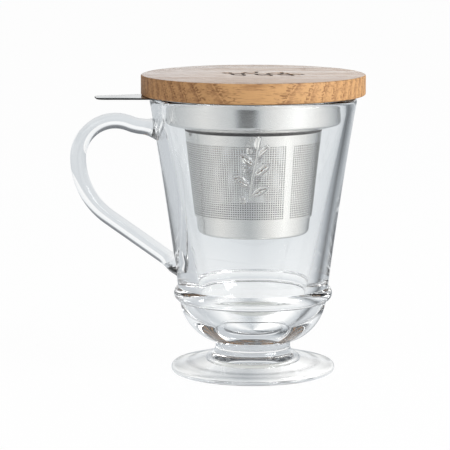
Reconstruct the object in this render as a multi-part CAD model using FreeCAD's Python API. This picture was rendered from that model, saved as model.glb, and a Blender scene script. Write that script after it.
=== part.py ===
import FreeCAD, Part
import math
import os

# Footed glass tea mug with a lift-out steel infuser and a loose oak lid.
# Lengths are millimetres and angles are degrees.
# The origin is the centre of the plane that the foot stands on, +Z is up, and the handle points to -X.

Vector = FreeCAD.Vector
up = Vector(0, 0, 1)
origin = Vector(0, 0, 0)
full_turn = 360.0
touch = 0.001
edge_samples = (0.0, 0.3, 0.5, 0.8, 1.0)

# Glass foot
foot_radius = 36.0
foot_edge_height = 4.4
foot_edge_flat = 0.2  # plain band between the rounds of the edge, and between them and the slope
foot_slope = 15.0  # fall of its upper side
foot_neck_fillet = 3.5
foot_recess_radius = 18.0
foot_recess_depth = 2.6
foot_recess_round = 1.2
neck_radius = 16.4
neck_length = 3.9  # from the foot's slope up to where the bowl is fused on

# Glass bowl and wall
bowl_collar_height = 0.9  # plain neck below the round of the bowl
bead_foot_radius = 32.1
bead_foot_height = 31.9
bowl_bulge = 3.7
bead_top_radius = 33.0
bead_top_height = 38.2
bead_bulge = 2.2
rim_radius = 45.2
rim_height = 121.9
rim_round = 2.0
wall_hollow = 0.5  # the wall flares, so its side is slightly hollow
rim_wall = 3.3  # thickness of the wall at the rim
floor_radius = 21.0  # where the lines of the wall and the floor would meet
floor_height = 22.8
floor_round = 17.0

# Glass handle, fused to the wall at both ends
handle_thickness = 6.9
handle_width = 9.0
handle_reach = 76.6  # from the mug's axis to the centre of the grip
handle_crown_drop = 10.7  # from the rim down to the top of the centre line
handle_crown_radius = 16.4
handle_shoulder_radius = 20.0
handle_shoulder_angle = 22.0
handle_root_angle = 6.0
handle_side_radius = 32.0
handle_tail_height = 48.4  # where the centre line meets the wall
root_fillet = 2.5
root_depth = 8.0  # how far each end is drawn past the wall before it is trimmed to it

# Steel infuser
seat_gap = 0.1
rim_sheet = 0.7
ring_inset = 1.7  # the ring is this much smaller than the rim
steel_sheet = 0.6
collar_clearance = 3.7  # from the glass at the rim to the collar
collar_depth = 10.8
collar_round = 1.6
ledge_drop = 2.4
tab_reach = 69.3
tab_root_half_width = 12.2
tab_tip_half_width = 6.7
tab_round = 3.0
tab_turn = 10.0  # the infuser hangs a little turned, so its tab points in front of the handle
basket_top_radius = 30.0
basket_bottom_radius = 25.0
basket_depth = 46.4
spigot_depth = 1.5
base_wall_height = 8.6
base_round = 2.0
weld_lap = 0.8

# Perforation, with each hole standing for a group of the real sheet's finer ones
hole_side = 1.9
hole_pitch = 3.95
base_hole_radius = 1.0
hole_top_margin = 7.2
hole_bottom_margin = 2.2
seam_angle = -55.4  # the sheet's welded seam, right of the middle as the front is seen
seam_width = 4.4
base_ring_pitch = 4.6
base_ring_count = 4
base_hole_spacing = 4.8
punch_depth = 4.0

# Oak lid with its seal
lid_radius = 49.0
lid_thickness = 8.8
lid_edge_round = 0.7
boss_clearance = 2.0  # from the collar to the boss, bridged by the seal
boss_depth = 6.8
boss_edge_round = 0.8
groove_depth = 1.4
groove_height = 3.0
groove_drop = 1.9  # from the lid's underside to the groove
seal_clearance = 0.3
seal_lip_height = 0.8
seal_band = 1.1  # how far the seal's body stands out of its groove

# Sizes that follow from the neighbouring piece
foot_edge_round = (foot_edge_height - foot_edge_flat) / 2
foot_slope_start = foot_radius - foot_edge_round - foot_edge_flat
foot_slope_rise = (foot_slope_start - neck_radius) * math.tan(math.radians(foot_slope))
mouth_radius = rim_radius - rim_wall
rim_ring_radius = rim_radius - ring_inset
collar_radius = mouth_radius - collar_clearance
boss_radius = collar_radius - steel_sheet - boss_clearance

# Heights that follow from what rests on what
foot_top = foot_edge_height + foot_slope_rise
neck_height = foot_top + neck_length
handle_crown_height = rim_height - handle_crown_drop
ring_bottom = rim_height + seat_gap
ring_top = ring_bottom + rim_sheet
lid_bottom = ring_top + seat_gap
collar_bottom = ring_bottom - collar_depth
basket_top = collar_bottom - ledge_drop
basket_bottom = basket_top - basket_depth
base_top = basket_bottom + base_wall_height
screen_bottom = base_top - weld_lap


def at(radius, height):
    return Vector(radius, 0, height)


def line(start, end):
    return Part.LineSegment(start, end).toShape()


def arc(start, end, bulge):
    # The middle of the arc stands off its chord by bulge, to the right of the way from start to end.
    chord = end - start
    side = Vector(chord.z, 0, -chord.x).normalize()
    middle = (start + end) * 0.5 + side * bulge
    return Part.Arc(start, middle, end).toShape()


def rounded(corners):
    # A closed outline through (point, rounding) pairs with straight sides.
    ends = []
    arcs = []
    for i, (corner, rounding) in enumerate(corners):
        before = (corners[i - 1][0] - corner).normalize()
        after = (corners[(i + 1) % len(corners)][0] - corner).normalize()
        if rounding == 0:
            ends.append((corner, corner))
            continue
        half = before.getAngle(after) / 2
        reach = rounding / math.tan(half)
        first = corner + before * reach
        last = corner + after * reach
        centre = corner + (before + after).normalize() * (rounding / math.sin(half))
        middle = centre + (corner - centre).normalize() * rounding
        ends.append((first, last))
        arcs.append(Part.Arc(first, middle, last).toShape())
    sides = [line(ends[i - 1][1], ends[i][0]) for i in range(len(ends))]
    return Part.Wire(Part.__sortEdges__(sides + arcs))


def turned(outline):
    return Part.Face(outline).revolve(origin, up, full_turn)


def save(name, shape):
    shape.exportStep(f"parts/{name}.step")
    print(name, "solids", len(shape.Solids), "valid", shape.isValid(), "volume", round(shape.Volume, 1))


def outer_side():
    # The outside of the bowl and wall, from the neck up to the start of the rim's round.
    neck_low = at(neck_radius, neck_height)
    neck_top = at(neck_radius, neck_height + bowl_collar_height)
    bead_foot = at(bead_foot_radius, bead_foot_height)
    bead_top = at(bead_top_radius, bead_top_height)
    rim_outer = at(rim_radius, rim_height - rim_round)
    return [
        line(at(0, neck_height), neck_low),
        line(neck_low, neck_top),
        arc(neck_top, bead_foot, bowl_bulge),
        arc(bead_foot, bead_top, bead_bulge),
        arc(bead_top, rim_outer, -wall_hollow),
    ]


def cavity_radius(height):
    share = (height - floor_height) / (rim_height - floor_height)
    return floor_radius + share * (mouth_radius - floor_radius)


def glass_body():
    rim_start = rim_height - rim_round
    rim_outer = at(rim_radius, rim_start)
    rim_inner = at(cavity_radius(rim_start), rim_start)
    floor_corner = at(floor_radius, floor_height)
    up_wall = (rim_inner - floor_corner).normalize()
    inward = Vector(-1, 0, 0)
    half = up_wall.getAngle(inward) / 2
    reach = floor_round / math.tan(half)
    wall_end = floor_corner + up_wall * reach
    floor_end = floor_corner + inward * reach
    centre = floor_end + up * floor_round
    round_middle = centre + (floor_corner - centre).normalize() * floor_round
    rim_top = at((rim_outer.x + rim_inner.x) / 2, rim_height)
    edges = outer_side() + [
        Part.Arc(rim_outer, rim_top, rim_inner).toShape(),
        line(rim_inner, wall_end),
        Part.Arc(wall_end, round_middle, floor_end).toShape(),
        line(floor_end, at(0, floor_height)),
        line(at(0, floor_height), at(0, neck_height)),
    ]
    return turned(Part.Wire(edges))


def glass_envelope():
    # The bowl and wall without their hollow, which trims the ends of the handle.
    rim_start = rim_height - rim_round
    edges = outer_side() + [
        line(at(rim_radius, rim_start), at(0, rim_start)),
        line(at(0, rim_start), at(0, neck_height)),
    ]
    return turned(Part.Wire(edges))


def glass_foot():
    outline = rounded([
        (at(0, foot_recess_depth), 0),
        (at(foot_recess_radius, foot_recess_depth), foot_recess_round),
        (at(foot_recess_radius, 0), foot_recess_round),
        (at(foot_radius, 0), foot_edge_round),
        (at(foot_radius, foot_edge_height), foot_edge_round),
        (at(foot_slope_start, foot_edge_height), 0),
        (at(neck_radius, foot_top), foot_neck_fillet),
        (at(neck_radius, neck_height), 0),
        (at(0, neck_height), 0),
    ])
    return turned(outline)


def wall_chord_radius(height):
    # Radius of the straight line from the bead's top to the start of the rim's round.
    share = (height - bead_top_height) / (rim_height - rim_round - bead_top_height)
    return bead_top_radius + share * (rim_radius - bead_top_radius)


def handle_stops():
    # Named points of the handle's centre line, all in the plane y = 0.
    # The tail runs straight from the wall to touch the arc of the side, and tail is its angle from upright.
    crown = math.radians(handle_shoulder_angle)
    root = math.radians(handle_root_angle)
    crown_centre = at(handle_crown_radius - handle_reach, handle_crown_height - handle_crown_radius)
    out_of_crown = Vector(math.sin(crown), 0, math.cos(crown))
    shoulder = crown_centre + out_of_crown * handle_crown_radius
    shoulder_centre = shoulder + out_of_crown * handle_shoulder_radius
    root_start = shoulder_centre - Vector(math.sin(root), 0, math.cos(root)) * handle_shoulder_radius
    grip = at(-handle_reach, crown_centre.z)
    side_centre = at(handle_side_radius - handle_reach, crown_centre.z)
    to_centre = side_centre - at(-wall_chord_radius(handle_tail_height), handle_tail_height)
    tail = math.atan2(-to_centre.x, to_centre.z) + math.asin(handle_side_radius / to_centre.Length)
    tail_start = side_centre - Vector(math.cos(tail), 0, math.sin(tail)) * handle_side_radius
    root_way = Vector(math.cos(root), 0, -math.sin(root))
    tail_way = Vector(math.sin(tail), 0, -math.cos(tail))
    mid_crown = crown_centre + Vector(-1, 0, 1).normalize() * handle_crown_radius
    half_bend = (crown + root) / 2
    mid_shoulder = shoulder_centre - Vector(math.sin(half_bend), 0, math.cos(half_bend)) * handle_shoulder_radius
    mid_side = side_centre - Vector(math.cos(tail / 2), 0, math.sin(tail / 2)) * handle_side_radius
    return {
        "root_start": root_start,
        "root_way": root_way,
        "mid_shoulder": mid_shoulder,
        "shoulder": shoulder,
        "mid_crown": mid_crown,
        "grip": grip,
        "mid_side": mid_side,
        "tail_start": tail_start,
        "tail_way": tail_way,
    }


def handle_section(centre, way):
    # An ellipse square to the centre line.
    thick = handle_thickness / 2
    wide = handle_width / 2
    across = Vector(-way.z, 0, way.x)
    ellipse = Part.Ellipse(centre + Vector(0, wide, 0), centre + across * thick, centre)
    return Part.Wire([ellipse.toShape()])


def wall_meeting(start, way):
    # How far along a straight run from start the outside of the wall is met, on the chord of its hollow side.
    low = at(-bead_top_radius, bead_top_height)
    high = at(-rim_radius, rim_height - rim_round)
    wall = high - low
    gap = low - start
    return (gap.x * wall.z - gap.z * wall.x) / (way.x * wall.z - way.z * wall.x)


def on_surface(edge, shape):
    # Does the whole edge lie on the shape's surface?
    span = edge.LastParameter - edge.FirstParameter
    points = [edge.valueAt(edge.FirstParameter + span * share) for share in edge_samples]
    return all(shape.distToShape(Part.Vertex(point))[0] < touch for point in points)


def glass_handle():
    stops = handle_stops()
    root_start = stops["root_start"]
    tail_start = stops["tail_start"]
    root_way = stops["root_way"]
    tail_way = stops["tail_way"]
    root_end = root_start + root_way * (wall_meeting(root_start, root_way) + root_depth)
    tail_end = tail_start + tail_way * (wall_meeting(tail_start, tail_way) + root_depth)
    path = Part.Wire([
        line(root_end, root_start),
        Part.Arc(root_start, stops["mid_shoulder"], stops["shoulder"]).toShape(),
        Part.Arc(stops["shoulder"], stops["mid_crown"], stops["grip"]).toShape(),
        Part.Arc(stops["grip"], stops["mid_side"], tail_start).toShape(),
        line(tail_start, tail_end),
    ])
    grip = path.makePipeShell([handle_section(root_end, root_way)], True, False)
    if grip.Volume < 0:
        grip.reverse()
    wall = glass_envelope()
    fused = grip.fuse(wall)
    seams = [edge for edge in fused.Edges if edge.BoundBox.XMax < 0 and on_surface(edge, grip)]
    seams = [edge for edge in seams if on_surface(edge, wall)]
    return fused.makeFillet(root_fillet, seams).cut(wall)


def infuser_rim():
    # A flat ring that hangs on the glass, with the finger tab in one piece with it.
    outer = Part.makeCylinder(rim_ring_radius, rim_sheet, at(0, ring_bottom))
    inner = Part.makeCylinder(collar_radius - steel_sheet, rim_sheet, at(0, ring_bottom))
    root_x = -math.sqrt(rim_ring_radius ** 2 - tab_root_half_width ** 2)
    inside_x = root_x + rim_ring_radius - collar_radius
    corners = [
        (Vector(inside_x, tab_root_half_width, ring_bottom), 0),
        (Vector(root_x, tab_root_half_width, ring_bottom), 0),
        (Vector(-tab_reach, tab_tip_half_width, ring_bottom), tab_round),
        (Vector(-tab_reach, -tab_tip_half_width, ring_bottom), tab_round),
        (Vector(root_x, -tab_root_half_width, ring_bottom), 0),
        (Vector(inside_x, -tab_root_half_width, ring_bottom), 0),
    ]
    tab = Part.Face(rounded(corners)).extrude(up * rim_sheet)
    tab.rotate(origin, up, tab_turn)
    return outer.fuse(tab).cut(inner).removeSplitter()


def basket_radius(height):
    share = (basket_top - height) / basket_depth
    return basket_top_radius + share * (basket_bottom_radius - basket_top_radius)


def infuser_collar():
    # The drawn collar: a short wall, a sloping ledge and a spigot that the screen is welded round.
    inner_top = basket_radius(basket_top) - steel_sheet
    spigot_low = basket_top - spigot_depth
    inner_low = basket_radius(spigot_low) - steel_sheet
    bore_low = inner_low - steel_sheet
    bore_top = inner_top - steel_sheet
    outline = rounded([
        (at(collar_radius, ring_bottom), 0),
        (at(collar_radius - steel_sheet, ring_bottom), 0),
        (at(collar_radius - steel_sheet, collar_bottom + steel_sheet), collar_round - steel_sheet),
        (at(bore_top, basket_top + steel_sheet), 0),
        (at(bore_low, spigot_low), 0),
        (at(inner_low, spigot_low), 0),
        (at(inner_top, basket_top), 0),
        (at(basket_top_radius, basket_top), 0),
        (at(collar_radius, collar_bottom), collar_round),
    ])
    return turned(outline)


def screen_punch(angle, height):
    # A square punch through the wall, bounded by level planes and by planes through the axis.
    radius = basket_radius(height)
    inner = radius - punch_depth / 2
    outer = radius + punch_depth / 2
    low = height - hole_side / 2
    high = height + hole_side / 2
    outline = rounded([(at(inner, low), 0), (at(outer, low), 0), (at(outer, high), 0), (at(inner, high), 0)])
    width = math.degrees(hole_side / radius)
    punch = Part.Face(outline).revolve(origin, up, width)
    punch.rotate(origin, up, angle - width / 2)
    return punch


def infuser_screen():
    wall = turned(rounded([
        (at(basket_radius(screen_bottom), screen_bottom), 0),
        (at(basket_top_radius, basket_top), 0),
        (at(basket_top_radius - steel_sheet, basket_top), 0),
        (at(basket_radius(screen_bottom) - steel_sheet, screen_bottom), 0),
    ]))
    lowest = screen_bottom + hole_bottom_margin
    highest = basket_top - hole_top_margin
    rows = 1 + round((highest - lowest) / hole_pitch)
    middle_radius = (basket_radius(lowest) + basket_radius(highest)) / 2
    seam_share = math.degrees(seam_width / middle_radius)
    open_angle = full_turn - seam_share
    columns = round(math.radians(open_angle) * middle_radius / hole_pitch)
    punches = []
    for row in range(rows):
        height = lowest + (highest - lowest) * row / (rows - 1)
        for column in range(columns):
            angle = seam_angle + seam_share / 2 + open_angle * (column + 0.5) / columns
            punches.append(screen_punch(angle, height))
    return wall.cut(Part.makeCompound(punches))


def infuser_base():
    # The bottom cup, whose lip sits inside the lower edge of the screen.
    lip_radius = basket_radius(base_top) - steel_sheet
    foot_of_wall = basket_radius(basket_bottom) - steel_sheet
    cup = turned(rounded([
        (at(0, basket_bottom), 0),
        (at(foot_of_wall, basket_bottom), base_round),
        (at(lip_radius, base_top), 0),
        (at(lip_radius - steel_sheet, base_top), 0),
        (at(foot_of_wall - steel_sheet, basket_bottom + steel_sheet), base_round - steel_sheet),
        (at(0, basket_bottom + steel_sheet), 0),
    ]))
    drills = [Part.makeCylinder(base_hole_radius, punch_depth, at(0, basket_bottom - punch_depth / 2))]
    for ring in range(1, base_ring_count + 1):
        radius = ring * base_ring_pitch
        count = round(2 * math.pi * radius / base_hole_spacing)
        for step in range(count):
            angle = 2 * math.pi * step / count
            place = Vector(radius * math.cos(angle), radius * math.sin(angle), basket_bottom - punch_depth / 2)
            drills.append(Part.makeCylinder(base_hole_radius, punch_depth, place))
    return cup.cut(Part.makeCompound(drills))


def lid_disc():
    # A turned oak disc whose boss drops into the collar, with a groove round the boss for the seal.
    top = lid_bottom + lid_thickness
    groove_top = lid_bottom - groove_drop
    groove_low = groove_top - groove_height
    outline = rounded([
        (at(0, top), 0),
        (at(lid_radius, top), lid_edge_round),
        (at(lid_radius, lid_bottom), lid_edge_round),
        (at(boss_radius, lid_bottom), 0),
        (at(boss_radius, groove_top), 0),
        (at(boss_radius - groove_depth, groove_top), 0),
        (at(boss_radius - groove_depth, groove_low), 0),
        (at(boss_radius, groove_low), 0),
        (at(boss_radius, lid_bottom - boss_depth), boss_edge_round),
        (at(0, lid_bottom - boss_depth), 0),
    ])
    return turned(outline)


def lid_seal():
    # A soft ring with two lips, which fills the groove and reaches almost to the collar.
    top = lid_bottom - groove_drop
    low = top - groove_height
    inner = boss_radius - groove_depth
    band = boss_radius + seal_band
    tip = collar_radius - steel_sheet - seal_clearance
    middle = (top + low) / 2
    outline = rounded([
        (at(inner, low), 0),
        (at(boss_radius, low), 0),
        (at(tip, low + seal_lip_height / 2), 0),
        (at(band, low + seal_lip_height), 0),
        (at(band, middle), 0),
        (at(tip, middle + seal_lip_height / 2), 0),
        (at(band, middle + seal_lip_height), 0),
        (at(boss_radius, top), 0),
        (at(inner, top), 0),
    ])
    return turned(outline)


os.makedirs("parts", exist_ok=True)
save("glass_foot", glass_foot())
save("glass_body", glass_body())
save("glass_handle", glass_handle())
save("infuser_rim", infuser_rim())
save("infuser_collar", infuser_collar())
save("infuser_screen", infuser_screen())
save("infuser_base", infuser_base())
save("lid_disc", lid_disc())
save("lid_seal", lid_seal())
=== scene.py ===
import bmesh
import bpy
import math
from mathutils import Matrix, Vector

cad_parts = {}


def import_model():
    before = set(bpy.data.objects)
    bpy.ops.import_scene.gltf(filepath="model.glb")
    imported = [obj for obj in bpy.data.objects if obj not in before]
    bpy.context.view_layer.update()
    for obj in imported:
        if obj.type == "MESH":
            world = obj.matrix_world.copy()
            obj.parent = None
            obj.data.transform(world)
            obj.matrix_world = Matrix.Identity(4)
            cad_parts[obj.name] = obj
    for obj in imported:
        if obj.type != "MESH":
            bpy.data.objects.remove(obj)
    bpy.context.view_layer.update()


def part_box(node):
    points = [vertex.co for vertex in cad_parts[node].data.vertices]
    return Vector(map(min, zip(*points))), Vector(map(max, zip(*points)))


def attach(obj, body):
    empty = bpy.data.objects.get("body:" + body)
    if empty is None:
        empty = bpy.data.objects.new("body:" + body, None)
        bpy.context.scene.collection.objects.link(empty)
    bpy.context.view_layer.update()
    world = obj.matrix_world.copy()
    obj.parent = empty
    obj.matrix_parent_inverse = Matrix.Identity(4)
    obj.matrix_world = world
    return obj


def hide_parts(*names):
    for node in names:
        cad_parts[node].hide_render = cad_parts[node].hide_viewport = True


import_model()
mm = 0.001
up = Vector((0, 0, 1))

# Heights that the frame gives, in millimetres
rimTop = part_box("glass_body")[1].z / mm
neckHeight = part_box("glass_body")[0].z / mm
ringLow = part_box("infuser_rim")[0].z / mm
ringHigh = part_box("infuser_rim")[1].z / mm
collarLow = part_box("infuser_collar")[0].z / mm
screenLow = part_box("infuser_screen")[0].z / mm
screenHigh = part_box("infuser_screen")[1].z / mm
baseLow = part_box("infuser_base")[0].z / mm
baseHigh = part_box("infuser_base")[1].z / mm
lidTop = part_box("lid_disc")[1].z / mm
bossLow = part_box("lid_disc")[0].z / mm
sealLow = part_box("lid_seal")[0].z / mm
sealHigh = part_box("lid_seal")[1].z / mm


class Link:
    # One output socket of a finish, so that shader maths reads as an expression.
    def __init__(self, finish, socket):
        self.finish = finish
        self.socket = socket

    def maths(self, operation, first, second=0.0):
        return self.finish.add("ShaderNodeMath", {"operation": operation}, {0: first, 1: second})

    def __add__(self, other):
        return self.maths("ADD", self, other)

    def __radd__(self, other):
        return self.maths("ADD", other, self)

    def __sub__(self, other):
        return self.maths("SUBTRACT", self, other)

    def __rsub__(self, other):
        return self.maths("SUBTRACT", other, self)

    def __mul__(self, other):
        return self.maths("MULTIPLY", self, other)

    def __rmul__(self, other):
        return self.maths("MULTIPLY", other, self)

    def __truediv__(self, other):
        return self.maths("DIVIDE", self, other)

    def __pow__(self, other):
        return self.maths("POWER", self, other)

    def __abs__(self):
        return self.maths("ABSOLUTE", self)

    def above(self, limit):
        return self.maths("GREATER_THAN", self, limit)

    def capped(self):
        return self.maths("MINIMUM", self.maths("MAXIMUM", self, 0.0), 1.0)


class Finish:
    # The shader of a material, or of the world, under construction.
    def __init__(self, name, kind="Material"):
        self.kind = kind
        self.owner = bpy.data.worlds.new(name) if kind == "World" else bpy.data.materials.new(name)
        self.owner.use_nodes = True
        self.tree = self.owner.node_tree
        self.tree.nodes.clear()

    def add(self, kind, settings=None, inputs=None, output=0):
        node = self.tree.nodes.new(kind)
        for key, value in (settings or {}).items():
            if key == "stops":
                ramp = node.color_ramp.elements
                while len(ramp) < len(value):
                    ramp.new(1.0)
                for element, (place, colour) in zip(ramp, value):
                    element.position = place
                    element.color = (*colour, 1.0)
            else:
                setattr(node, key, value)
        for key, value in (inputs or {}).items():
            if isinstance(value, Link):
                self.tree.links.new(value.socket, node.inputs[key])
            else:
                node.inputs[key].default_value = value
        return Link(self, node.outputs[output]) if node.outputs else None

    def place(self):
        return self.add("ShaderNodeTexCoord", output="Object")

    def split(self, vector):
        # The three parts of a vector.
        first = self.add("ShaderNodeSeparateXYZ", {}, {0: vector})
        return [Link(self, socket) for socket in first.socket.node.outputs]

    def stretched(self, vector, scale):
        return self.add("ShaderNodeVectorMath", {"operation": "MULTIPLY"}, {0: vector, 1: scale})

    def noise(self, vector, scale, detail=3.0, roughness=0.5):
        inputs = {"Vector": vector, "Scale": scale, "Detail": detail, "Roughness": roughness}
        return self.add("ShaderNodeTexNoise", {}, inputs)

    def ramp(self, value, stops):
        return self.add("ShaderNodeValToRGB", {"stops": stops}, {0: value})

    def blend(self, share, first, second, kind="MIX"):
        # Two colours mixed, each a link or three numbers.
        first, second = (value if isinstance(value, Link) else (*value, 1.0) for value in (first, second))
        settings = {"data_type": "RGBA", "blend_type": kind}
        return self.add("ShaderNodeMix", settings, {0: share, 6: first, 7: second}, 2)

    def bump(self, height, strength, distance):
        inputs = {"Height": height, "Strength": strength, "Distance": distance}
        return self.add("ShaderNodeBump", {}, inputs)

    def principled(self, inputs):
        return self.add("ShaderNodeBsdfPrincipled", {}, inputs)

    def done(self, shader):
        self.add(f"ShaderNodeOutput{self.kind}", {}, {"Surface": shader})
        return self.owner


glassLook = {
    "tint": (0.985, 0.991, 0.99, 1.0),
    "index": 1.5,
    "waveScale": 55.0,
    "waveDepth": 0.00004,
    "waveStrength": 0.6,
    "shadowPass": 0.9,
}


def clearGlass():
    finish = Finish("clearGlass")
    wave = finish.noise(finish.place(), glassLook["waveScale"], 1.0)
    glass = finish.principled({
        "Base Color": glassLook["tint"],
        "Roughness": 0.0,
        "IOR": glassLook["index"],
        "Transmission Weight": 1.0,
        "Normal": finish.bump(wave, glassLook["waveStrength"], glassLook["waveDepth"]),
    })
    clear = finish.add("ShaderNodeBsdfTransparent", {}, {"Color": glassLook["tint"]})
    shadow = finish.add("ShaderNodeLightPath", output="Is Shadow Ray") * glassLook["shadowPass"]
    return finish.done(finish.add("ShaderNodeMixShader", {}, {0: shadow, 1: glass, 2: clear}))


steelLook = {
    "pale": (0.80, 0.80, 0.79),
    "dark": (0.68, 0.675, 0.66),
    "brushScale": 9000.0,
    "brushStretch": (0.012, 0.012, 1.0),
    "brushShare": 0.6,  # of the brushed lines in the colour, the rest being clouds
    "cloudScale": 90.0,
    "roughness": 0.1,
    "brushRoughness": 0.14,
    "cloudRoughness": 0.05,
    "brushDepth": 0.000004,
    "brushStrength": 0.35,
}


def brushedSteel(name, warmth):
    finish = Finish(name)
    place = finish.place()
    # the brush ran round the axis, so the lines are fine in height and long round it
    brushed = finish.stretched(place, steelLook["brushStretch"])
    lines = finish.noise(brushed, steelLook["brushScale"], 4.0, 0.6)
    cloud = finish.noise(place, steelLook["cloudScale"])
    red, green, blue = steelLook["pale"]
    share = lines * steelLook["brushShare"] + cloud * (1 - steelLook["brushShare"])
    rough = lines * steelLook["brushRoughness"] + cloud * steelLook["cloudRoughness"]
    return finish.done(finish.principled({
        "Base Color": finish.blend(share, steelLook["dark"], (red, green - warmth / 3, blue - warmth)),
        "Metallic": 1.0,
        "Roughness": rough + steelLook["roughness"],
        "Normal": finish.bump(lines, steelLook["brushStrength"], steelLook["brushDepth"]),
    }))


paintedShadeLook = {
    "inside": ((0.19, 0.185, 0.175), (0.36, 0.35, 0.33)),  # dark and pale painted shade inside the screen
    "shaded": ((0.015, 0.015, 0.014), (0.05, 0.048, 0.045)),  # near-black painted shade on cut edges, inside the base and under the ledge
    "cloudScale": 240.0,
    "roughness": 0.42,
    "cloudRoughness": 0.15,
}


def paintedShadeSteel(name, dark, pale):
    # Steel that isn't polished, its colour darkened as painted shade.
    finish = Finish(name)
    cloud = finish.noise(finish.place(), paintedShadeLook["cloudScale"], 4.0)
    return finish.done(finish.principled({
        "Base Color": finish.blend(cloud, dark, pale),
        "Metallic": 1.0,
        "Roughness": paintedShadeLook["roughness"] + cloud * paintedShadeLook["cloudRoughness"],
    }))


oakLook = {
    "early": (0.60, 0.335, 0.140),
    "late": (0.25, 0.105, 0.036),
    "handleSideTint": (0.78, 0.70, 0.62),
    "pore": (0.36, 0.27, 0.21),
    "burnt": (0.035, 0.018, 0.010),
    "pithY": 0.152,
    "pithZ": 0.085,
    "ringsPerMetre": 262.0,
    "ringShift": 0.35,
    "ringDrift": 0.0034,
    # how dark the late wood and how thick the row of pores is across one ring
    "lateStops": [(0.0, 0.0), (0.5, 0.15), (0.9, 1.0), (1.0, 0.0)],
    "poreStops": [(0.0, 1.0), (0.14, 0.9), (0.3, 0.0), (1.0, 0.0)],
    # fineness of each pattern along X, Y and Z; the fibres run along X
    "drift": (10.0, 42.0, 42.0),
    "fibre": (70.0, 1700.0, 1700.0),
    "streak": (24.0, 420.0, 420.0),
    "pores": (210.0, 1500.0, 1500.0),
    "broad": (13.0, 150.0, 150.0),
    "mottle": 420.0,
    # what darkens the wood, and how strongly
    "lateShade": 0.36,
    "fibreShade": 1.05,
    "streakShade": 0.85,
    "mottleShade": 0.35,
    "poreShade": 0.72,
    "middle": 1.36,
    "contrast": 1.8,
    "darkness": 0.36,
    "roughness": 0.52,
    "oil": 1.75,
    "oilRoughness": 0.15,
    "grainDepth": 0.00012,
    # the burnt line: depth where it starts, depth where it ends, and reach from the axis, in millimetres
    "burnDepth": 0.06,
    "burnEnd": 1.2,
    "burnReach": 40.0,
}


def oak():
    # The fibres run along X; rings of early pores cross the edge as dotted lines, steep on this board.
    finish = Finish("oak")
    place = finish.place()
    x, y, z = finish.split(place)

    def pattern(fineness, detail=3.0, roughness=0.6):
        return finish.noise(finish.stretched(place, fineness), 1.0, detail, roughness)

    def across(share, stops):
        return finish.ramp(share, [(stop, (tone, tone, tone)) for stop, tone in stops])

    fromPith = ((y - oakLook["pithY"]) ** 2.0 + (z - oakLook["pithZ"]) ** 2.0) ** 0.5
    rings = fromPith + pattern(oakLook["drift"], roughness=0.5) * oakLook["ringDrift"]
    rings = rings * oakLook["ringsPerMetre"] + oakLook["ringShift"]
    ringShare = rings.maths("FRACT", rings)
    lateWood = across(ringShare, oakLook["lateStops"])
    fibre = pattern(oakLook["fibre"], 4.0, 0.65)
    streak = pattern(oakLook["streak"])
    broad = pattern(oakLook["broad"])
    mottle = finish.noise(place, oakLook["mottle"], 4.0, 0.7)
    pores = pattern(oakLook["pores"], 2.0, 0.55) + across(ringShare, oakLook["poreStops"]) * 0.17
    poreMask = ((pores - 0.60) * 9.0).capped()
    shade = lateWood * oakLook["lateShade"] + fibre * oakLook["fibreShade"]
    shade = shade + streak * oakLook["streakShade"] + mottle * oakLook["mottleShade"]
    shade = ((shade - oakLook["middle"]) * oakLook["contrast"] + oakLook["darkness"]).capped()
    body = finish.blend(shade, oakLook["early"], oakLook["late"])
    # the board is darker and browner towards the handle
    handleSideShare = ((0.0 - x) * 22.0 + streak * 0.8 - 0.55).capped()
    body = finish.blend(handleSideShare, body, finish.blend(1.0, body, oakLook["handleSideTint"], "MULTIPLY"))
    pored = finish.blend(1.0, body, oakLook["pore"], "MULTIPLY")
    body = finish.blend(poreMask * oakLook["poreShade"], body, pored)
    burnHigh = (lidTop - oakLook["burnDepth"]) * mm
    burnLow = (lidTop - oakLook["burnEnd"]) * mm
    radius = (x ** 2.0 + y ** 2.0) ** 0.5
    burnt = (burnHigh - z).above(0.0) * z.above(burnLow) * (oakLook["burnReach"] * mm - radius).above(0.0)
    body = finish.blend(burnt, body, oakLook["burnt"])
    # the top is oiled, the edge is bare
    onTop = finish.split(finish.add("ShaderNodeNewGeometry", output="Normal"))[2].above(0.9)
    grain = fibre * 0.5 + lateWood * 0.2 - poreMask * 0.8
    return finish.done(finish.principled({
        "Base Color": body,
        "Roughness": oakLook["roughness"] + fibre * 0.12 + poreMask * 0.1 - onTop * 0.24,
        "Coat Weight": (onTop * (oakLook["oil"] - poreMask * 0.6 - broad * 1.9)).capped(),
        "Coat Roughness": oakLook["oilRoughness"],
        "Normal": finish.bump(grain, 0.5, oakLook["grainDepth"]),
    }))


siliconeLook = {
    "dark": (0.80, 0.80, 0.77),
    "pale": (0.88, 0.88, 0.86),
    "cloudScale": 160.0,
    "roughness": 0.42,
    "cloudRoughness": 0.15,
    "skinDepth": 0.00003,
}


def silicone():
    finish = Finish("silicone")
    cloud = finish.noise(finish.place(), siliconeLook["cloudScale"], 4.0)
    return finish.done(finish.principled({
        "Base Color": finish.blend(cloud, siliconeLook["dark"], siliconeLook["pale"]),
        "Roughness": siliconeLook["roughness"] + cloud * siliconeLook["cloudRoughness"],
        "Normal": finish.bump(cloud, 0.3, siliconeLook["skinDepth"]),
    }))


def asObject(name, bm):
    mesh = bpy.data.meshes.new(name)
    bm.to_mesh(mesh)
    bm.free()
    made = bpy.data.objects.new(name, mesh)
    bpy.context.scene.collection.objects.link(made)
    return made


def smoothed(piece, angle):
    piece.data.shade_smooth()
    piece.data.set_sharp_from_angle(angle=math.radians(angle))


def fitted(piece, material, body, nodes, angle=32.0):
    # Gives a finished shape its material, its shading and its body, and hides the nodes that it stands for.
    piece.data.materials.clear()
    piece.data.materials.append(material)
    smoothed(piece, angle)
    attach(piece, body)
    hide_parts(*nodes)
    print("made", piece.name, len(piece.data.polygons), "faces")
    return piece


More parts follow.
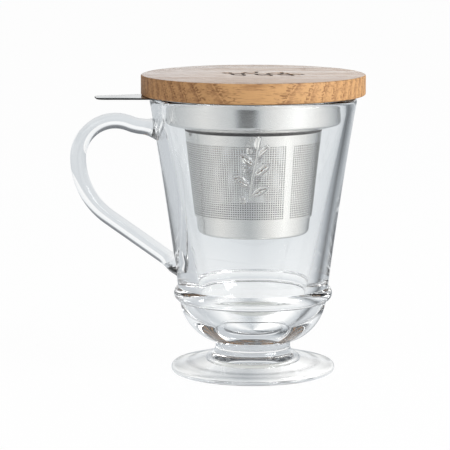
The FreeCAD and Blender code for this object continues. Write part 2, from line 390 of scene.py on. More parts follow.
def rotated(bm, verts, angle, axis, centre=(0, 0, 0)):
    bmesh.ops.rotate(bm, verts=verts, cent=centre, matrix=Matrix.Rotation(angle, 3, axis))


def middleOf(verts):
    return sum((vert.co for vert in verts), Vector()) / len(verts)


def endsOf(edges):
    # The vertices of the edges, each once and in order.
    return list(dict.fromkeys(vert for edge in edges for vert in edge.verts))


def extruded(bm, edges):
    # Extrudes open edges and gives the new vertices and the new edges.
    made = bmesh.ops.extrude_edge_only(bm, edges=edges)["geom"]
    verts = [item for item in made if isinstance(item, bmesh.types.BMVert)]
    return verts, [item for item in made if isinstance(item, bmesh.types.BMEdge)]


def thickened(bm, thickness, flat):
    # Turns an open sheet's faces up where it is flat, or outwards, and gives it its thickness.
    bmesh.ops.recalc_face_normals(bm, faces=bm.faces[:])
    first = bm.faces[:][0]
    if first.normal.dot(up if flat else first.calc_center_median()) < 0:
        bmesh.ops.reverse_faces(bm, faces=bm.faces[:])
    bmesh.ops.solidify(bm, geom=bm.faces[:], thickness=thickness * mm)


def bulged(start, end, bulge, steps):
    # Points of an arc that stands bulge off the chord, to the right of the way from start to end.
    # The start is left out.
    first, last = Vector(start), Vector(end)
    chord = last - first
    side = Vector((chord.y, -chord.x)).normalized()
    half = chord.length / 2
    radius = (half ** 2 + bulge ** 2) / (2 * abs(bulge))
    centre = (first + last) / 2 + side * (bulge - math.copysign(radius, bulge))
    arm = first - centre
    sweep = 2 * math.asin(min(1.0, half / radius))
    if abs(bulge) > radius:
        sweep = 2 * math.pi - sweep
    points = []
    for step in range(1, steps + 1):
        angle = math.copysign(sweep, bulge) * step / steps
        points.append((
            centre.x + arm.x * math.cos(angle) - arm.y * math.sin(angle),
            centre.y + arm.x * math.sin(angle) + arm.y * math.cos(angle),
        ))
    return points


def turned(bm, profile, segments, closed):
    # Spins a profile once round the axis; each stop is a radius, a height and, at a corner, its rounding.
    verts = [bm.verts.new((stop[0] * mm, 0, stop[1] * mm)) for stop in profile]
    edges = [bm.edges.new(pair) for pair in zip(verts, verts[1:])]
    if closed:
        edges.append(bm.edges.new((verts[-1], verts[0])))
    for vert, stop in zip(verts, profile):
        if len(stop) > 2 and stop[2] > 0:
            arms = [(edge.other_vert(vert).co - vert.co).normalized() for edge in vert.link_edges]
            reach = stop[2] * mm / math.tan(arms[0].angle(arms[1]) / 2)
            bmesh.ops.bevel(bm, geom=[vert], offset=reach, offset_type="OFFSET", affect="VERTICES",
                            segments=max(6, round(stop[2])), profile=0.5, material=-1)
    bmesh.ops.spin(bm, geom=bm.verts[:] + bm.edges[:], cent=(0, 0, 0), axis=up, dvec=(0, 0, 0),
                   angle=2 * math.pi, steps=segments, use_merge=True, use_duplicate=False)
    bmesh.ops.remove_doubles(bm, verts=bm.verts[:], dist=0.000001)
    bmesh.ops.recalc_face_normals(bm, faces=bm.faces[:])


mug = {
    "segments": 160,
    "footRadius": 36.0,
    "footEdge": 4.4,
    "footSlope": 15.0,
    "neckFillet": 3.5,
    "recessRadius": 18.0,
    "recessDepth": 2.6,
    "recessRound": 1.2,
    "neckRadius": 16.4,
    "neckCollar": 0.9,
    "beadFoot": (32.1, 31.9),
    "beadTop": (33.0, 38.2),
    "bowlBulge": 3.7,
    "beadBulge": 2.2,
    "rimRadius": 45.2,
    "rimRound": 2.0,
    "wallHollow": 0.5,
    "mouthRadius": 41.9,
    "floorRadius": 21.0,
    "floorHeight": 22.8,
    "floorRound": 17.0,
    # steps of the arcs
    "edgeSteps": 12,
    "bowlSteps": 18,
    "beadSteps": 14,
    "wallSteps": 20,
}


def cavityRadius(height):
    share = (height - mug["floorHeight"]) / (rimTop - mug["floorHeight"])
    return mug["floorRadius"] + share * (mug["mouthRadius"] - mug["floorRadius"])


def wallRadius(height):
    # Outside of the wall, on the arc between bead and rim.
    low, high = mug["beadTop"], (mug["rimRadius"], rimTop - mug["rimRound"])
    share = (height - low[1]) / (high[1] - low[1])
    return low[0] + share * (high[0] - low[0]) - mug["wallHollow"] * 4 * share * (1 - share)


def glassBlank():
    # Foot, bowl and wall as one turned body.
    edge = mug["footEdge"] / 2
    edgeCentre = mug["footRadius"] - edge
    coneTop = mug["footEdge"] + (edgeCentre - mug["neckRadius"]) * math.tan(math.radians(mug["footSlope"]))
    neckTop = (mug["neckRadius"], neckHeight + mug["neckCollar"])
    rimStart = rimTop - mug["rimRound"]
    rimOuter = (mug["rimRadius"], rimStart)
    rimInner = (cavityRadius(rimStart), rimStart)
    profile = [
        (0, mug["recessDepth"]),
        (mug["recessRadius"], mug["recessDepth"], mug["recessRound"]),
        (mug["recessRadius"], 0, mug["recessRound"]),
        (edgeCentre, 0),
        *bulged((edgeCentre, 0), (edgeCentre, mug["footEdge"]), edge, mug["edgeSteps"]),
        (mug["neckRadius"], coneTop, mug["neckFillet"]),
        neckTop,
        *bulged(neckTop, mug["beadFoot"], mug["bowlBulge"], mug["bowlSteps"]),
        *bulged(mug["beadFoot"], mug["beadTop"], mug["beadBulge"], mug["beadSteps"]),
        *bulged(mug["beadTop"], rimOuter, -mug["wallHollow"], mug["wallSteps"]),
        *bulged(rimOuter, rimInner, mug["rimRound"], mug["edgeSteps"]),
        (mug["floorRadius"], mug["floorHeight"], mug["floorRound"]),
        (0, mug["floorHeight"]),
    ]
    bm = bmesh.new()
    turned(bm, profile, mug["segments"], False)
    return asObject("glassMug", bm)


handle = {
    "thickness": 6.9,
    "width": 9.0,
    "reach": 76.6,
    "crownDrop": 10.7,
    "crownRadius": 16.4,
    "shoulderRadius": 20.0,
    "shoulderAngle": 22.0,
    "rootAngle": 6.0,
    "sideRadius": 32.0,
    "tailHeight": 48.4,
    "segments": 44,
    # each end swells over its run, turns and drops, and then goes on into the glass
    "rootEnd": {"run": 7.5, "thicker": 1.68, "wider": 1.4, "turn": 14.5, "drop": 0.8, "depth": 2.2},
    "tailEnd": {"run": 6.5, "thicker": 1.22, "wider": 1.35, "turn": 0.0, "drop": 0.0, "depth": 6.0},
    "endSteps": 9,
    "endCurve": 2.2,
    "shoulderSteps": 5,
    "crownSteps": 24,
    "sideSteps": 14,
}


def wallChord(height):
    # Radius of the straight line from the bead's top to the start of the rim's round.
    share = (height - mug["beadTop"][1]) / (rimTop - mug["rimRound"] - mug["beadTop"][1])
    return mug["beadTop"][0] + share * (mug["rimRadius"] - mug["beadTop"][0])


def toWall(start, way):
    # How far along a straight run the wall's outside is met.
    low = Vector((-mug["beadTop"][0], 0, mug["beadTop"][1]))
    high = Vector((-mug["rimRadius"], 0, rimTop - mug["rimRound"]))
    wall, gap = high - low, low - start
    return (gap.x * wall.z - gap.z * wall.x) / (way.x * wall.z - way.z * wall.x)


def drawn(bm, loop, shift, growth=(1.0, 1.0, 1.0), tilt=0.0):
    # Draws the open end loop on by shift and grows it about its centre.
    # The tilt is the section's lean in the XZ plane.
    verts, edges = extruded(bm, loop)
    bmesh.ops.translate(bm, verts=verts, vec=shift)
    home = Matrix.Rotation(-tilt, 4, "Y") @ Matrix.Translation(-middleOf(verts))
    bmesh.ops.scale(bm, verts=verts, vec=growth, space=home)
    return edges


def swung(bm, loop, centre, angle, steps):
    # Swings the open end loop round a level axis through centre.
    swing = bmesh.ops.spin(bm, geom=endsOf(loop) + loop, cent=centre, axis=(0, 1, 0), dvec=(0, 0, 0),
                           angle=angle, steps=steps, use_merge=False, use_duplicate=False)
    return [item for item in swing["geom_last"] if isinstance(item, bmesh.types.BMEdge)]


def swelled(bm, loop, way, end):
    # The end of the handle swells towards the wall and then runs on into the glass.
    steps = handle["endSteps"]
    tilt = math.atan2(-way.z, way.x)
    before = 0.0
    for step in range(1, steps + 1):
        ease = (step / steps) ** handle["endCurve"]
        wider, thicker = ((1 + (end[size] - 1) * ease) / (1 + (end[size] - 1) * before)
                          for size in ("wider", "thicker"))
        shift = way * end["run"] / steps - up * end["drop"] * (ease - before)
        loop = drawn(bm, loop, shift * mm, (1.0, wider, thicker), tilt)
        lean = -math.radians(end["turn"]) * (ease - before)
        verts = endsOf(loop)
        rotated(bm, verts, lean, "Y", middleOf(verts))
        tilt += lean
        before = ease
    return drawn(bm, loop, way * end["depth"] * mm)


def glassHandle():
    crown = math.radians(handle["shoulderAngle"])
    root = math.radians(handle["rootAngle"])
    crownHeight = rimTop - handle["crownDrop"]
    crownCentre = Vector((handle["crownRadius"] - handle["reach"], 0, crownHeight - handle["crownRadius"]))
    outOfCrown = Vector((math.sin(crown), 0, math.cos(crown)))
    shoulderCentre = crownCentre + outOfCrown * (handle["crownRadius"] + handle["shoulderRadius"])
    rootStart = shoulderCentre - Vector((math.sin(root), 0, math.cos(root))) * handle["shoulderRadius"]
    sideCentre = Vector((handle["sideRadius"] - handle["reach"], 0, crownCentre.z))
    toCentre = sideCentre - Vector((-wallChord(handle["tailHeight"]), 0, handle["tailHeight"]))
    tail = math.atan2(-toCentre.x, toCentre.z) + math.asin(handle["sideRadius"] / toCentre.length)
    rootWay = Vector((math.cos(root), 0, -math.sin(root)))
    tailWay = Vector((math.sin(tail), 0, -math.cos(tail)))
    tailStart = sideCentre - Vector((math.cos(tail), 0, math.sin(tail))) * handle["sideRadius"]
    bm = bmesh.new()
    ring = bmesh.ops.create_circle(bm, cap_ends=False, radius=1.0, segments=handle["segments"])["verts"]
    bmesh.ops.scale(bm, verts=ring, vec=(handle["thickness"] / 2 * mm, handle["width"] / 2 * mm, 1))
    rotated(bm, ring, root - math.pi / 2, "Y")
    bmesh.ops.translate(bm, verts=ring, vec=rootStart * mm)
    loop = bm.edges[:]
    rootLoop = loop
    upperRun = toWall(rootStart, rootWay) - handle["rootEnd"]["run"]
    if upperRun > 0:
        rootLoop = drawn(bm, rootLoop, rootWay * upperRun * mm)
    rootLoop = swelled(bm, rootLoop, rootWay, handle["rootEnd"])
    loop = swung(bm, loop, shoulderCentre * mm, crown - root, handle["shoulderSteps"])
    loop = swung(bm, loop, crownCentre * mm, -(math.pi / 2 + crown), handle["crownSteps"])
    loop = swung(bm, loop, sideCentre * mm, -tail, handle["sideSteps"])
    lowerRun = toWall(tailStart, tailWay) - handle["tailEnd"]["run"]
    loop = drawn(bm, loop, tailWay * lowerRun * mm)
    tailLoop = swelled(bm, loop, tailWay, handle["tailEnd"])
    bmesh.ops.contextual_create(bm, geom=rootLoop)
    bmesh.ops.contextual_create(bm, geom=tailLoop)
    bmesh.ops.recalc_face_normals(bm, faces=bm.faces[:])
    return asObject("handleBlank", bm)


sprig = {
    "height": 93.5,
    "stemRise": 24.0,
    "stemBow": 1.6,
    "stemRadius": 0.55,
    "depth": 1.6,
    # each leaf: height up the stem, side, lean from upright, length, width
    "leaves": [
        (-10.5, 1, 62.0, 8.6, 3.6),
        (-6.6, -1, 58.0, 9.2, 3.9),
        (-1.8, 1, 54.0, 9.0, 3.8),
        (2.4, -1, 50.0, 8.2, 3.5),
        (6.4, 1, 44.0, 7.0, 3.0),
    ],
    "leafGap": 0.4,
    "leafPoint": 0.45,
    "veinWidth": 0.22,
    "veinDepth": 0.4,
    "bud": (12.6, 6.4, 3.6),  # height up the stem, length, width
    "budLean": 0.12,
    "berries": [(-12.4, -3.0, 1.5), (9.0, -3.4, 1.3)],  # height, way across, radius
    "stemSteps": 16,
    "stemSides": 12,
    "ballSides": 20,
    "ballRings": 14,
}


def stemBow(rise):
    return sprig["stemBow"] * math.sin(rise / sprig["stemRise"] * math.pi)


def stemLine():
    # Points up the stem, from its foot to its tip.
    steps = sprig["stemSteps"]
    rises = [sprig["stemRise"] * (step / steps - 0.5) for step in range(steps + 1)]
    return [Vector((stemBow(rise), rise)) for rise in rises]


def sprigForms(scale=1.0):
    # The flat design's leaves, bud and berries, each as a centre, a lean, half a length and half a width.
    forms = []
    for rise, side, lean, length, width in sprig["leaves"]:
        turn = math.radians(lean) * side
        away = Vector((math.sin(turn), math.cos(turn))) * (length / 2 + sprig["leafGap"])
        forms.append((Vector((stemBow(rise), rise)) + away, turn, length / 2, width / 2))
    rise, length, width = sprig["bud"]
    forms.append((Vector((stemBow(rise), rise)), sprig["budLean"], length / 2, width / 2))
    for rise, side, radius in sprig["berries"]:
        forms.append((Vector((stemBow(rise) + side, rise)), 0.0, radius, radius))
    return [(centre * scale, turn, length * scale, width * scale) for centre, turn, length, width in forms]


def wrapped(flat, quarter):
    # Lays a point (across, rise, depth) on the outside of the wall; quarter 0 is the front, 2 the back.
    height = sprig["height"] + flat.y
    radius = wallRadius(height)
    angle = flat.x / radius + (quarter - 1) * math.pi / 2
    out = radius + flat.z
    return Vector((out * math.cos(angle), out * math.sin(angle), height)) * mm


def reliefLeaf(name, form, quarter):
    # A ball pressed flat, with a point and a vein where the form is a leaf, laid on the wall.
    centre, turn, halfLength, halfWidth = form
    isLeaf = halfLength > halfWidth * 1.2
    bm = bmesh.new()
    bmesh.ops.create_uvsphere(bm, u_segments=sprig["ballSides"], v_segments=sprig["ballRings"], radius=1.0)
    rotated(bm, bm.verts[:], math.pi / 2, "X")
    for vert in bm.verts:
        across, along, depth = vert.co
        point = 1 - sprig["leafPoint"] * along ** 2 if isLeaf else 1.0
        vein = 1 - sprig["veinDepth"] * math.exp(-(across / sprig["veinWidth"]) ** 2) if isLeaf else 1.0
        flat = Vector((across * halfWidth * point, along * halfLength, 0))
        flat.rotate(Matrix.Rotation(-turn, 3, "Z"))
        flat += Vector((centre.x, centre.y, depth * sprig["depth"] * vein))
        vert.co = wrapped(flat, quarter)
    bmesh.ops.recalc_face_normals(bm, faces=bm.faces[:])
    return asObject(name, bm)


def reliefStem(name, quarter):
    points = [Vector((*point, 0)) for point in stemLine()]
    radius, sides = sprig["stemRadius"], sprig["stemSides"]
    bm = bmesh.new()
    ring = bmesh.ops.create_circle(bm, cap_ends=True, radius=radius, segments=sides)["verts"]
    rotated(bm, ring, math.pi / 2, "X")
    bmesh.ops.translate(bm, verts=ring, vec=points[0])
    loop = bm.edges[:]
    for low, high in zip(points, points[1:]):
        loop = drawn(bm, loop, high - low)
    bmesh.ops.contextual_create(bm, geom=loop)
    for vert in bm.verts:
        vert.co = wrapped(vert.co, quarter)
    bmesh.ops.recalc_face_normals(bm, faces=bm.faces[:])
    return asObject(name, bm)


def joined(base, operands, operation):
    # One exact boolean of the base with a group of solids, which are then removed.
    group = bpy.data.collections.new("operands")
    bpy.context.scene.collection.children.link(group)
    for other in operands:
        bpy.context.scene.collection.objects.unlink(other)
        group.objects.link(other)
    cut = base.modifiers.new("joined", "BOOLEAN")
    cut.operation = operation
    cut.solver = "EXACT"
    cut.operand_type = "COLLECTION"
    cut.collection = group
    cut.use_self = True
    result = bpy.data.meshes.new_from_object(base.evaluated_get(bpy.context.evaluated_depsgraph_get()))
    base.modifiers.clear()
    base.data = result
    for other in operands:
        bpy.data.objects.remove(other)
    bpy.data.collections.remove(group)


def glassMug(material):
    piece = glassBlank()
    operands = [glassHandle()]
    for quarter in (0, 2):
        operands.append(reliefStem(f"stem{quarter}", quarter))
        for number, form in enumerate(sprigForms()):
            operands.append(reliefLeaf(f"leaf{quarter}-{number}", form, quarter))
    joined(piece, operands, "UNION")
    return fitted(piece, material, "mug", ["glass_body", "glass_foot", "glass_handle"], 38.0)


infuser = {
    "segments": 168,
    "sheet": 0.6,
    "ringRadius": 43.5,
    "collarRadius": 38.2,
    "collarRound": 1.6,
    "ledgeDrop": 2.4,
    "ledgeRoundInside": 0.5,
    "ledgeRoundOutside": 0.25,
    "basketTop": 30.0,
    "basketBottom": 25.0,
    "tabReach": 69.3,
    "tabRoot": 12.2,
    "tabTip": 6.7,
    "tabRound": 2.6,  # how far the tip's corners stay back
    "tabTurn": 10.0,
    "edgeRound": 0.16,
}


def basketRadius(height):
    share = (screenHigh - height) / (screenHigh - baseLow)
    return infuser["basketTop"] + share * (infuser["basketBottom"] - infuser["basketTop"])


def withPaintedShade(piece, material, chosen):
    # Gives the chosen faces a darker steel as painted shade.
    piece.data.materials.append(material)
    for face in piece.data.polygons:
        if chosen(face):
            face.material_index = len(piece.data.materials) - 1
    return piece


def looksIn(face):
    # True for the inside of a wall round the axis.
    level = Vector((face.center.x, face.center.y, 0)).normalized()
    return face.normal.dot(level) < -0.5


def isShaded(face):
    # True for the screen's upper margin, which lies under the collar's ledge and gets painted shade.
    return face.center.z > (screenHigh - screen["shadeBand"]) * mm


def looksInOrUp(face):
    # True for the inside of the base.
    return looksIn(face) or face.normal.z > 0.5


def isCutEdge(face):
    # True for the edges of a flat sheet.
    return abs(face.normal.z) < 0.6


def infuserRim(material, cutEdgePaintedShade):
    # A flat ring; the edges on the handle's side are drawn out into the finger tab.
    bm = bmesh.new()
    count = infuser["segments"]
    inner = infuser["collarRadius"] - infuser["sheet"]
    bmesh.ops.create_circle(bm, cap_ends=False, radius=inner * mm, segments=count)
    outer, rim = extruded(bm, bm.edges[:])
    grow = infuser["ringRadius"] / inner
    bmesh.ops.scale(bm, verts=outer, vec=(grow, grow, 1))
    half = infuser["tabRoot"] * mm
    root = [edge for edge in rim if all(vert.co.x < 0 and abs(vert.co.y) < half for vert in edge.verts)]
    tip = extruded(bm, root)[0]
    widest = max(abs(vert.co.y) for vert in tip)
    for vert in tip:
        share = abs(vert.co.y) / widest
        vert.co.x = (infuser["tabRound"] * share ** 6 - infuser["tabReach"]) * mm
        vert.co.y *= infuser["tabTip"] * mm / widest
    bmesh.ops.translate(bm, verts=bm.verts[:], vec=(0, 0, ringHigh * mm))
    rotated(bm, bm.verts[:], math.radians(infuser["tabTurn"]), "Z")
    thickened(bm, ringHigh - ringLow, True)
    bmesh.ops.recalc_face_normals(bm, faces=bm.faces[:])
    edges = [edge for edge in bm.edges if len(edge.link_faces) == 2 and edge.calc_face_angle() > 1.0]
    bmesh.ops.bevel(bm, geom=edges, offset=infuser["edgeRound"] * mm, offset_type="OFFSET", affect="EDGES",
                    segments=2, profile=0.5, material=-1)
    piece = fitted(asObject("infuserRim", bm), material, "infuser", ["infuser_rim"])
    # the rim's cut edges get near-black steel as painted shade
    return withPaintedShade(piece, cutEdgePaintedShade, isCutEdge)


def infuserCollar(material):
    sheet = infuser["sheet"]
    ledgeHigh = screenHigh + infuser["ledgeDrop"]
    innerTop = basketRadius(screenHigh) - sheet
    innerLow = basketRadius(collarLow) - sheet
    profile = [
        (infuser["collarRadius"], ringLow),
        (infuser["collarRadius"] - sheet, ringLow),
        (infuser["collarRadius"] - sheet, ledgeHigh + sheet, infuser["collarRound"] - sheet),
        (innerTop - sheet, screenHigh + sheet, infuser["ledgeRoundInside"]),
        (innerLow - sheet, collarLow),
        (innerLow, collarLow),
        (innerTop, screenHigh),
        (infuser["basketTop"], screenHigh, infuser["ledgeRoundOutside"]),
        (infuser["collarRadius"], ledgeHigh, infuser["collarRound"]),
    ]
    bm = bmesh.new()
    turned(bm, profile, infuser["segments"], True)
    return fitted(asObject("infuserCollar", bm), material, "infuser", ["infuser_collar"])


screen = {
    "columns": 168,
    "rows": 33,
    "rowPitch": 0.98,
    "sheet": 0.42,
    "hem": 0.3,  # a narrow band along the lower edge
    "firstRow": 1.0,  # height of the first holes over the lower edge
    "web": 0.22,  # steel left round each hole, on each side
    "seamAngle": -58.9,
    "seamWidth": 3.4,
    "shadeBand": 0.9,  # the upper margin under the collar's ledge, which gets painted shade
}


def infuserScreen(material, inside, shade):
    # A rolled sheet; every cell of its grid but the seam and the margins gets a hole.
    bm = bmesh.new()
    lowRadius = basketRadius(screenLow) * mm
    bmesh.ops.create_circle(bm, cap_ends=False, radius=lowRadius, segments=screen["columns"])
    bmesh.ops.translate(bm, verts=bm.verts[:], vec=(0, 0, screenLow * mm))
    loop = bm.edges[:]
    firstRow = screenLow + screen["firstRow"]
    heights = [firstRow + screen["rowPitch"] * row for row in range(screen["rows"] + 1)]
    levels = [screenLow + screen["hem"], *heights, screenHigh - screen["shadeBand"], screenHigh]
    below = screenLow
    for level in levels:
        loop = drawn(bm, loop, Vector((0, 0, (level - below) * mm)))
        grow = basketRadius(level) / basketRadius(below)
        bmesh.ops.scale(bm, verts=endsOf(loop), vec=(grow, grow, 1))
        below = level
    seam = math.radians(screen["seamAngle"])
    holes = []
    for face in bm.faces:
        middle = face.calc_center_median()
        away = abs((math.atan2(middle.y, middle.x) - seam + math.pi) % (2 * math.pi) - math.pi)
        inBand = heights[0] * mm < middle.z < heights[-1] * mm
        if inBand and away * middle.xy.length > screen["seamWidth"] / 2 * mm:
            holes.append(face)
    bmesh.ops.inset_individual(bm, faces=holes, thickness=screen["web"] * mm, depth=0, use_even_offset=True)
    bmesh.ops.delete(bm, geom=holes, context="FACES")
    thickened(bm, screen["sheet"], False)
    piece = fitted(asObject("infuserScreen", bm), material, "infuser", ["infuser_screen"])
    # the inside of the screen gets darker steel and its margin under the ledge near-black steel, both as
    # painted shade
    return withPaintedShade(withPaintedShade(piece, inside, looksIn), shade, isShaded)


base = {
    "round": 2.0,
    "shelfRadius": 21.6,
    "plateRadius": 22.6,
    "holePitch": 1.15,
    "web": 0.29,
    "fieldRadius": 20.2,
    "plateSheet": 0.4,
    "plateGap": 0.02,
}


def infuserBase(material, inside):
    sheet = infuser["sheet"]
    lip = basketRadius(baseHigh) - sheet
    corner = basketRadius(baseLow) - sheet
    profile = [
        (base["shelfRadius"], baseLow),
        (corner, baseLow, base["round"]),
        (lip, baseHigh),
        (lip - sheet, baseHigh),
        (corner - sheet, baseLow + sheet, base["round"] - sheet),
        (base["shelfRadius"], baseLow + sheet),
    ]
    bm = bmesh.new()
    turned(bm, profile, infuser["segments"], True)
    piece = fitted(asObject("infuserBase", bm), material, "infuser", ["infuser_base"])
    # the inside of the base gets near-black steel as painted shade
    return withPaintedShade(piece, inside, looksInOrUp)


def infuserBasePlate(material, inside):
    # The perforated disc that lies on the base's shelf.
    bm = bmesh.new()
    cells = 2 * math.ceil(base["plateRadius"] / base["holePitch"])
    bmesh.ops.create_grid(bm, x_segments=cells, y_segments=cells, size=cells * base["holePitch"] / 2 * mm)
    outside = [face for face in bm.faces if face.calc_center_median().length > base["plateRadius"] * mm]
    bmesh.ops.delete(bm, geom=outside, context="FACES")
    for vert in bm.verts:
        if vert.is_boundary:
            vert.co *= base["plateRadius"] * mm / vert.co.length
    holes = [face for face in bm.faces if face.calc_center_median().length < base["fieldRadius"] * mm]
    bmesh.ops.inset_individual(bm, faces=holes, thickness=base["web"] * mm, depth=0, use_even_offset=True)
    bmesh.ops.delete(bm, geom=holes, context="FACES")
    plateTop = baseLow + infuser["sheet"] + base["plateGap"] + base["plateSheet"]
    bmesh.ops.translate(bm, verts=bm.verts[:], vec=(0, 0, plateTop * mm))
    thickened(bm, base["plateSheet"], True)
    piece = fitted(asObject("infuserBasePlate", bm), material, "infuser", [])
    # the plate's upper face gets near-black steel as painted shade
    return withPaintedShade(piece, inside, looksInOrUp)


lid = {
    "segments": 192,
    "radius": 49.0,
    "thickness": 8.8,
    "edgeRound": 0.7,
    "bossRadius": 35.6,
    "bossRound": 0.8,
    "grooveDepth": 1.4,
    "sealBand": 1.1,
    "sealGap": 0.3,
    "lipHeight": 0.8,
    "lipRound": 0.12,
    "engraving": 0.8,  # half width of the engraved line
    "engravingSize": 1.18,
    "engravingShift": 3.2,
    "leafPoints": 28,
}


def leafLine(form):
    # The closed outline of a leaf as points on the flat.
    centre, turn, halfLength, halfWidth = form
    points = []
    for step in range(lid["leafPoints"]):
        angle = 2 * math.pi * step / lid["leafPoints"]
        point = 1 - sprig["leafPoint"] * math.cos(angle) ** 2
        flat = Vector((math.sin(angle) * halfWidth * point, math.cos(angle) * halfLength))
        flat.rotate(Matrix.Rotation(-turn, 2))
        points.append(centre + flat)
    return points


def engravedLine(name, points, closed):
    # A round bar half sunk along a line on the lid's top, to be cut out of it.
    curve = bpy.data.curves.new(name, "CURVE")
    curve.dimensions = "3D"
    curve.bevel_depth = lid["engraving"] * mm
    curve.bevel_resolution = 2
    curve.use_fill_caps = True
    spline = curve.splines.new("POLY")
    spline.points.add(len(points) - 1)
    for point, flat in zip(spline.points, points):
        # the stem lies along the grain
        point.co = (*(Vector((flat.y + lid["engravingShift"], -flat.x, lidTop)) * mm), 1.0)
    spline.use_cyclic_u = closed
    source = bpy.data.objects.new(name, curve)
    bpy.context.scene.collection.objects.link(source)
    mesh = bpy.data.meshes.new_from_object(source.evaluated_get(bpy.context.evaluated_depsgraph_get()))
    bpy.data.objects.remove(source)
    made = bpy.data.objects.new(name, mesh)
    bpy.context.scene.collection.objects.link(made)
    return made


def lidDisc(material):
    lidLow = lidTop - lid["thickness"]
    grooveRadius = lid["bossRadius"] - lid["grooveDepth"]
    profile = [
        (0, lidTop),
        (lid["radius"], lidTop, lid["edgeRound"]),
        (lid["radius"], lidLow, lid["edgeRound"]),
        (lid["bossRadius"], lidLow),
        (lid["bossRadius"], sealHigh),
        (grooveRadius, sealHigh),
        (grooveRadius, sealLow),
        (lid["bossRadius"], sealLow),
        (lid["bossRadius"], bossLow, lid["bossRound"]),
        (0, bossLow),
    ]
    bm = bmesh.new()
    turned(bm, profile, lid["segments"], False)
    piece = asObject("lidDisc", bm)
    size = lid["engravingSize"]
    forms = sprigForms(size)
    cuts = [engravedLine(f"cut{number}", leafLine(form), True) for number, form in enumerate(forms)]
    cuts.append(engravedLine("cutStem", [point * size for point in stemLine()], False))
    joined(piece, cuts, "DIFFERENCE")
    return fitted(piece, material, "lid", ["lid_disc"])


def lidSeal(material):
    inner = lid["bossRadius"] - lid["grooveDepth"]
    band = lid["bossRadius"] + lid["sealBand"]
    tip = infuser["collarRadius"] - infuser["sheet"] - lid["sealGap"]
    middle = (sealLow + sealHigh) / 2
    profile = [
        (inner, sealLow),
        (lid["bossRadius"], sealLow),
        (tip, sealLow + lid["lipHeight"] / 2, lid["lipRound"]),
        (band, sealLow + lid["lipHeight"]),
        (band, middle),
        (tip, middle + lid["lipHeight"] / 2, lid["lipRound"]),
        (band, middle + lid["lipHeight"]),
        (lid["bossRadius"], sealHigh),
        (inner, sealHigh),
    ]
    bm = bmesh.new()
    turned(bm, profile, lid["segments"], True)
    return fitted(asObject("lidSeal", bm), material, "lid", ["lid_seal"])


view = {
    "place": (-0.01233, -1.18607, 0.23516),
    "dip": 8.158,  # degrees below level
    "focalPixels": 2729.13,
    "picturePixels": 450,
    "sensor": 36.0,
}


def camera():
    data = bpy.data.cameras.new("camera")
    data.sensor_width = view["sensor"]
    data.lens = view["focalPixels"] * view["sensor"] / view["picturePixels"]
    data.clip_end = 50
    eye = bpy.data.objects.new("camera", data)
    eye.location = view["place"]
    eye.rotation_euler = (math.radians(90 - view["dip"]), 0, 0)
    bpy.context.scene.collection.objects.link(eye)
    bpy.context.scene.camera = eye


floorLook = {
    "size": 12.0,
    "colour": (0.86, 0.86, 0.86, 1.0),
    "glow": 0.97,
    "throughShare": 0.9,
    # painted tones seen through glass, by distance from the axis as a share of the reach; the dip near the
    # axis and the two dark rings are painted shadow under and round the foot
    "reach": 0.25,
    "throughStops": [
        (0.0, (0.60, 0.61, 0.58)),
        (0.05, (0.45, 0.46, 0.43)),
        (0.08, (0.82, 0.83, 0.80)),
        (0.098, (0.80, 0.81, 0.79)),
        (0.104, (0.05, 0.06, 0.05)),
        (0.110, (0.05, 0.06, 0.05)),
        (0.116, (0.78, 0.79, 0.77)),
        (0.124, (0.70, 0.71, 0.69)),
        (0.134, (0.16, 0.17, 0.15)),
        (0.142, (0.16, 0.17, 0.15)),
        (0.152, (0.88, 0.89, 0.88)),
        (0.17, (1.0, 1.0, 1.0)),
        (0.30, (0.96, 0.97, 0.98)),
        (0.60, (0.83, 0.85, 0.87)),
        (1.0, (0.73, 0.76, 0.79)),
    ],
    # what steel mirrors, painted on the floor: an even tone with lobes of painted light and shade, each a
    # direction, half a width and a gain
    # directions are in degrees from the front, to the right
    "mirrorTone": 0.62,
    "mirrorLobes": [(57.0, 62.0, 0.87), (-63.0, 55.0, 0.45), (141.0, 22.0, -0.58)],
    "mirrorGap": (-8.0, 17.0, 0.42),  # direction and half width of the painted dark gap, and how far off it starts
    "gapEdge": 1.8,
    "gapShade": 0.92,
    "dimBlue": (0.84, 0.96, 1.08),
    "dimBelow": 1.05,
}


def rayIs(finish, *kinds):
    # 1 where the ray is of one of these kinds.
    return sum(finish.add("ShaderNodeLightPath", output=f"Is {kind} Ray") for kind in kinds).capped()


def lobe(azimuth, centre, half):
    # 1 at the centre, falling evenly to 0 at half the width on either side; all in degrees.
    return (1.0 - abs(azimuth - math.radians(centre)) / math.radians(half)).capped()


def mirroredFloor(finish, x, y, reach):
    # The floor as the steel sees it: painted lamp glow on either side, painted shade behind and a dark
    # painted gap in front.
    azimuth = x.maths("ARCTAN2", x, 0.0 - y)
    tone = sum((lobe(azimuth, centre, half) * gain for centre, half, gain in floorLook["mirrorLobes"]),
               floorLook["mirrorTone"])
    centre, half, start = floorLook["mirrorGap"]
    gap = (lobe(azimuth, centre, half) * floorLook["gapEdge"]).capped() * reach.above(start)
    tone = tone * (1.0 - gap * floorLook["gapShade"])
    grey = finish.add("ShaderNodeCombineXYZ", {}, {0: tone, 1: tone, 2: tone})
    blue = finish.blend(1.0, grey, floorLook["dimBlue"], "MULTIPLY")
    return finish.blend((floorLook["dimBelow"] - tone).capped(), grey, blue)


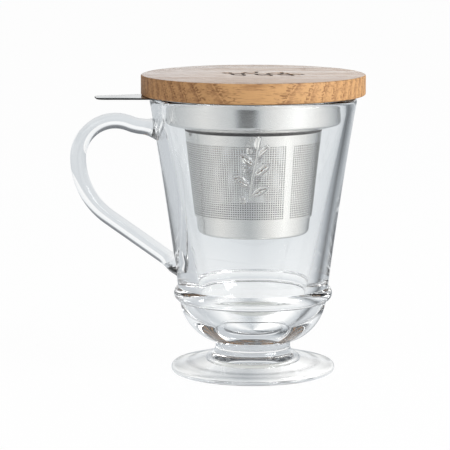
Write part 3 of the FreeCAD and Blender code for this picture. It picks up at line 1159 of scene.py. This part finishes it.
def floor():
    finish = Finish("floor")
    x, y = finish.split(finish.place())[:2]
    reach = (x ** 2.0 + y ** 2.0) ** 0.5
    matt = finish.add("ShaderNodeBsdfDiffuse", {}, {"Color": floorLook["colour"]})
    glow = finish.add("ShaderNodeEmission", {}, {"Color": (1, 1, 1, 1), "Strength": 1.0})
    through = finish.ramp(reach / floorLook["reach"], floorLook["throughStops"])
    # a ray that has been mirrored once sees the floor as the steel does
    mirrored = finish.add("ShaderNodeLightPath", output="Glossy Depth").above(0.5)
    tone = finish.blend(mirrored, through, mirroredFloor(finish, x, y, reach))
    dim = finish.add("ShaderNodeEmission", {}, {"Color": tone, "Strength": 1.0})
    direct = rayIs(finish, "Camera") * floorLook["glow"]
    white = finish.add("ShaderNodeMixShader", {}, {0: direct, 1: matt, 2: glow})
    # rays bent by glass or mirrored by steel see these painted floor tones as emitted light
    bent = rayIs(finish, "Glossy", "Transmission") * floorLook["throughShare"]
    material = finish.done(finish.add("ShaderNodeMixShader", {}, {0: bent, 1: white, 2: dim}))
    bm = bmesh.new()
    bmesh.ops.create_grid(bm, x_segments=1, y_segments=1, size=floorLook["size"] / 2)
    plane = asObject("floor", bm)
    plane.data.materials.append(material)


sky = {
    # tones by height, from level to straight up
    "stops": [
        (0.0, (1.0, 1.0, 1.0)),
        (0.19, (0.92, 0.94, 0.96)),
        (0.30, (0.22, 0.23, 0.25)),
        (0.60, (0.10, 0.11, 0.12)),
        (1.0, (0.03, 0.03, 0.04)),
    ],
    "fill": 0.42,
}


def world():
    finish = Finish("studio", "World")
    height = finish.split(finish.add("ShaderNodeTexCoord", output="Generated"))[2]
    # what gloss and glass see: a bright sweep all round and a dark ceiling
    colour = finish.ramp(height, sky["stops"])
    room = finish.add("ShaderNodeBackground", {}, {"Color": colour, "Strength": 1.0})
    fill = finish.add("ShaderNodeBackground", {}, {"Color": (1, 1, 1, 1), "Strength": sky["fill"]})
    seen = rayIs(finish, "Camera", "Glossy", "Transmission")
    mixed = finish.add("ShaderNodeMixShader", {}, {0: seen, 1: fill, 2: room})
    bpy.context.scene.world = finish.done(mixed)


lamps = {
    "softboxLeft": {"place": (-0.9, -0.8, 1.1), "size": 0.9, "power": 4.0},
    "softboxRight": {"place": (1.1, -0.6, 0.8), "size": 0.8, "power": 18.5},
}
lampAim = Vector((0, 0, 0.06))


def lamp(name, place, size, power):
    data = bpy.data.lights.new(name, "AREA")
    data.size = size
    data.energy = power
    box = bpy.data.objects.new(name, data)
    box.location = place
    box.rotation_mode = "QUATERNION"
    box.rotation_quaternion = (lampAim - Vector(place)).to_track_quat("-Z", "Y")
    box.visible_camera = False
    bpy.context.scene.collection.objects.link(box)


bpy.context.scene.view_settings.view_transform = "Standard"
paths = bpy.context.scene.cycles
paths.max_bounces = paths.transmission_bounces = 24  # thick glass turns a ray many times
paths.glossy_bounces = 16
camera()
world()
floor()
for lampName, values in lamps.items():
    lamp(lampName, **values)
print("stage set")

glassMug(clearGlass())
plainSteel = brushedSteel("brushedSteel", 0.0)
sheetSteel = brushedSteel("sheetSteel", 0.02)
# the inside of the screen gets darker steel as painted shade
insidePaintedShade = paintedShadeSteel("insidePaintedShade", *paintedShadeLook["inside"])
# near-black steel as painted shade on cut edges, inside the base and under the ledge
nearBlackPaintedShade = paintedShadeSteel("nearBlackPaintedShade", *paintedShadeLook["shaded"])
infuserRim(plainSteel, nearBlackPaintedShade)
infuserCollar(plainSteel)
infuserScreen(sheetSteel, insidePaintedShade, nearBlackPaintedShade)
infuserBase(sheetSteel, nearBlackPaintedShade)
infuserBasePlate(sheetSteel, nearBlackPaintedShade)
lidDisc(oak())
lidSeal(silicone())
